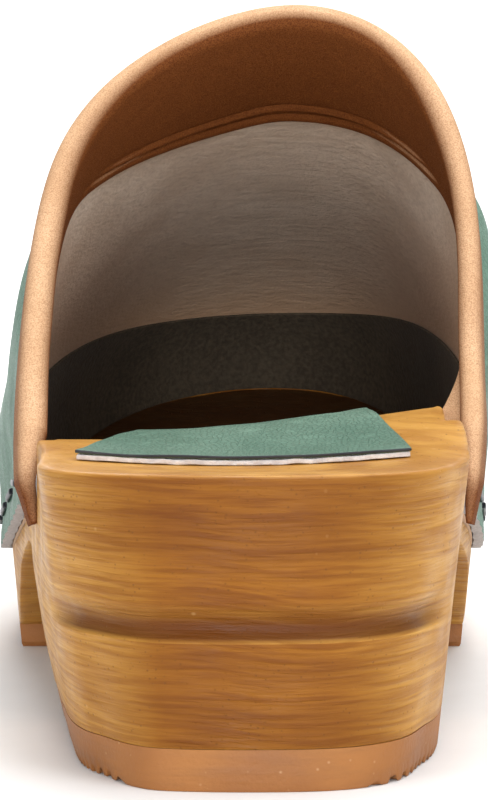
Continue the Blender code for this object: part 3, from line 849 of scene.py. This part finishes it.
def band_relief(below, width, a):
    """The inner band's relief, towards the foot: a raised hem, a groove, and a fold over the instep."""
    from_edge = width - below
    centre = bump(a, 0.27, 0.5, 0.73)
    fold = (1.9 + 2.8 * centre) * MM
    relief = 0.35 * MM * smooth(1.6 * MM - from_edge, 0, 0.5 * MM)
    relief -= 0.5 * MM * ridge(from_edge, 2.1 * MM, 0.4 * MM)
    relief += 0.5 * MM * ridge(from_edge, fold, 0.7 * MM) * smooth(centre, 0, 0.3)
    relief -= 0.6 * MM * ridge(from_edge, fold + 1.1 * MM, 0.45 * MM) * centre
    return relief


def free_edge(skin):
    """The upper's free edge: up its outer rear edge, along the top line, and down its inner rear edge.

    Gives the points, the directions out of the leather and off the edge, and the lengths from the nearer end.
    """
    rise = np.linspace(0, 1, TAIL, endpoint=False)[:, None]
    ends = []
    for column in (0, -1):
        lean = TAIL_LEAN if column == 0 else -0.3 * TAIL_LEAN
        foot = skin.points[0, column] + np.array((lean, -1.5 * MM, -TAIL_DROP))
        ends.append(foot + (skin.points[-1, column] - foot) * rise)
    line = np.vstack([ends[0], skin.points[-1], ends[1][::-1]])
    first, last = (np.repeat(skin.out[-1, [column]], TAIL, axis=0) for column in (0, -1))
    out = np.vstack([first, skin.out[-1], last])
    padded = np.pad(line, ((4, 4), (0, 0)), mode="reflect", reflect_type="odd")
    weights = (1, 2, 3, 4, 5, 4, 3, 2, 1)
    line = sum(weight * padded[k : k + len(line)] for k, weight in enumerate(weights)) / sum(weights)
    along = unit(np.gradient(line, axis=0))
    out = unit(out - along * np.sum(out * along, axis=1, keepdims=True))
    far = np.concatenate([[0], np.cumsum(np.linalg.norm(np.diff(line, axis=0), axis=1))])
    return line, out, np.cross(along, out), np.minimum(far, far[-1] - far)


def collar():
    """The padded roll over the top line, tapered down the rear edges, its band and flap, and its filling."""
    skin = Upper(np.linspace(0, 1, 421))
    line, out, off, far = free_edge(skin)
    a = np.concatenate([np.zeros(TAIL), skin.a, np.ones(TAIL)])
    taper = 0.24 + 0.76 * np.clip(far / TAIL_LENGTH, 0, 1) ** 0.85
    taper = taper * (1 - INNER_SLIMMER * smooth(a, 0.62, 0.8))
    flap = bump(a, 0.88, 0.955, 0.995)
    width = COLLAR_TIP * taper + (COLLAR_WIDTH - COLLAR_TIP) * smooth(from_corner(a), 0.2, 0.48) + FLAP * flap
    onto = smooth(from_corner(skin.a), 0, 0.05)[:, None]

    def leg(below, depth):
        """Points a distance below the free edge and a depth under the leather's outside."""
        below, depth = np.broadcast_to(below, len(a)), np.broadcast_to(depth, len(a))
        flat = line - off * below[:, None] - out * depth[:, None]
        middle = slice(TAIL, -TAIL)
        on_skin = skin.at((skin.length - below[middle])[None], depth[middle][None])[0]
        flat[middle] += (on_skin - flat[middle]) * onto
        return flat

    radius = ROLL * taper * (1 + 0.02 * waves(8, 0.03, far))
    beyond = ROLL_OUT - ROLL_TUCK * smooth(a, 0.6, 0.75)
    middle = line + out * (beyond - radius)[:, None] + off * ROLL_RISE
    rows = [leg(COLLAR_LAP * taper * share, 0.5 * MM * share**3 - beyond) for share in (1, 0.75, 0.5, 0.25)]
    for angle in np.linspace(0, math.pi, 25):
        rows.append(middle + radius[:, None] * (math.cos(angle) * out + math.sin(angle) * off))
    inner = 2 * ROLL * taper - beyond
    for share in np.linspace(0.03, 1, 62):
        below = share * width
        relief = band_relief(below, width, a) * smooth(share, 0.1, 0.3) * smooth(width, 8 * MM, 16 * MM)
        rows.append(leg(below, inner + relief + FLAP_CURL * flap * smooth(share, 0, 0.5)))
    made = piece("padded_collar", sheet_mesh(np.array(rows)), [TAN], "tan_leather", "collar_binding")
    thicken(made, BINDING, 0.25 * MM)

    keep = slice(5, -5)
    core = line + out * (beyond - ROLL)[:, None] + off * (ROLL_RISE - 0.2 * MM)
    thick = COLLAR_CORE * (0.5 + 0.5 * smooth(far[keep], 0, 12 * MM))
    thick = thick * (1 + 0.08 * waves(9, 0.004, far[keep]))
    rings, faces = tube_mesh(core[keep], out[keep], off[keep], np.column_stack([thick, thick]))
    filling = piece("collar_filling", mesh_of(rings, faces), [FOAM], "collar_foam", "collar_core")


# The label and the staples.


def label_sheet(lift, grow=0.0):
    """Rows of points over the foot bed in the label's outline: soft S sides and a slanted rear edge."""
    s, w = np.linspace(-1, 1, 141), np.linspace(0, 1, 111)[:, None]
    half = LABEL_REAR_HALF + (LABEL_FRONT_HALF - LABEL_REAR_HALF) * smooth(w, -0.1, 1.05) + grow
    x = LABEL_MIDDLE + LABEL_SKEW * w + s * half
    corner = LABEL_CORNER * np.maximum(0, np.abs(s) - 0.7) ** 2 / 0.09
    y = LABEL_REAR - grow + LABEL_TURN * s * (1 - w) + w * (LABEL_LENGTH + 2 * grow - corner)
    return np.stack([x, y, foot_bed(x, y) + lift], axis=-1)


def label():
    backing = label_sheet(GAP / 2)
    backing[..., 2] += 0.10 * MM * waves(21, 0.006, backing[..., 0], backing[..., 1])
    fleece = piece("fleece_backing", sheet_mesh(backing), [FLEECE], "label_fleece", "heel_label_backing")
    thicken(fleece, LABEL_BACKING + 0.1 * MM, 0.3 * MM)
    face = label_sheet(GAP + LABEL_BACKING + 0.1 * MM, grow=0.2 * MM)
    face[..., 2] += 0.12 * MM * waves(22, 0.016, face[..., 0], face[..., 1])
    leather = piece("green_label", sheet_mesh(face), [LABEL_GREEN, CUT_EDGE], "label_leather", "heel_label")
    thicken(leather, LABEL_LEATHER, 0.22 * MM, rim=1)


def staple_path(half, leg, rise):
    """A staple's middle line, as along and out: up one leg, over the barely slanted crown, down the other."""
    turn = 0.7 * MM
    left = [(-half, -leg), (-half, -leg / 2), (-half, rise - turn)]
    for w in np.radians((30, 60, 90)):
        left.append((-half + turn * (1 - math.cos(w)), rise - turn * (1 - math.sin(w))))
    crown = [(half * s, rise + 0.08 * MM * math.sin(1.5 * s)) for s in (-0.5, 0, 0.5)]
    return np.array(left + crown + [(-e, n) for e, n in reversed(left)])


def staples():
    skin = Upper(STAPLE_PLACES)
    half = (STAPLE_CROWN - STAPLE_WIRE[1]) / 2
    line = staple_path(half, STAPLE_LEG, 0.15 * MM)
    middles = skin.at(np.full((1, STAPLES), STAPLE_LIFT))[0]
    for number in range(STAPLES):
        row = np.argmin(np.abs(skin.height[:, number] - STAPLE_LIFT))
        along, out = skin.along[row, number], skin.out[row, number]
        up = np.cross(along, out)
        path = middles[number] + line[:, :1] * along + line[:, 1:] * out
        across = unit(np.cross(np.gradient(path, axis=0), up))
        radii = (STAPLE_WIRE[1] / 2, STAPLE_WIRE[0] / 2)
        rings, faces = tube_mesh(path, across, np.broadcast_to(up, path.shape), radii, 16, 0.55)
        node = f"staple_{number + 1:02d}"
        piece(f"wire_{node}", mesh_of(rings, faces), [STEEL], "staple_steel", node)


# The stage.


def backdrop():
    """A pale floor that sweeps up into a wall beyond the toe."""
    profile = [(FLOOR_START, 0), (FLOOR_END, 0)]
    for angle in np.linspace(0.1, math.pi / 2, 16):
        profile.append((FLOOR_END + SWEEP * math.sin(angle), SWEEP * (1 - math.cos(angle))))
    profile.append((FLOOR_END + SWEEP, WALL_TOP))
    points = np.array([[(x, y, z - 0.05 * MM) for x in (-HALF_FLOOR, HALF_FLOOR)] for y, z in profile])
    sweep = bpy.data.objects.new("backdrop", sheet_mesh(points))
    bpy.context.scene.collection.objects.link(sweep)
    look = Look("pale_paper", Roughness=0.9, Specular_IOR_Level=0.1)
    tone = look.mix(look.noise(0.01, 2), (0.84, 0.84, 0.84), (0.88, 0.88, 0.88))
    sweep.data.materials.append(look.finish(tone))


def area_light(name, place, size, power, target=(0, 0, 0.05)):
    light = bpy.data.lights.new(name, "AREA")
    light.energy = power
    light.shape, light.size = "DISK", size
    lamp = bpy.data.objects.new(name, light)
    bpy.context.scene.collection.objects.link(lamp)
    lamp.location = place
    lamp.rotation_euler = (Vector(target) - lamp.location).to_track_quat("-Z", "Y").to_euler()


def stage():
    backdrop()
    area_light("top_softbox", (0.15, -0.1, 1.1), 0.9, 10.5)
    area_light("right_softbox", (0.75, -0.8, 0.8), 0.6, 4.3)
    area_light("left_softbox", (-0.85, -0.75, 0.75), 0.6, 3)
    area_light("low_fill", (0, -1.3, 0.16), 0.5, 7)
    area_light("front_fill", (-0.1, 1.3, 0.9), 0.8, 6)
    area_light("backdrop_light", (0, 0.9, 1.7), 1.0, 30, target=(0, 2.1, 0.7))
    world = bpy.data.worlds.new("studio")
    world.use_nodes = True
    world.node_tree.nodes["Background"].inputs["Color"].default_value = (1, 1, 1, 1)
    world.node_tree.nodes["Background"].inputs["Strength"].default_value = 0.3
    bpy.context.scene.world = world
    bpy.context.scene.view_settings.view_transform = "Standard"

    camera = bpy.data.objects.new("camera", bpy.data.cameras.new("camera"))
    bpy.context.scene.collection.objects.link(camera)
    camera.data.lens = CAMERA_LENS
    camera.data.clip_start = 0.02
    camera.location = HEEL_BACK + Vector((0, -CAMERA_DISTANCE, CAMERA_HEIGHT))
    camera.rotation_euler = (math.pi / 2 - CAMERA_TILT, 0, 0)
    bpy.context.scene.camera = camera


wooden_sole()
outsoles()
vamp()
toe_stiffener()
collar()
label()
staples()
stage()
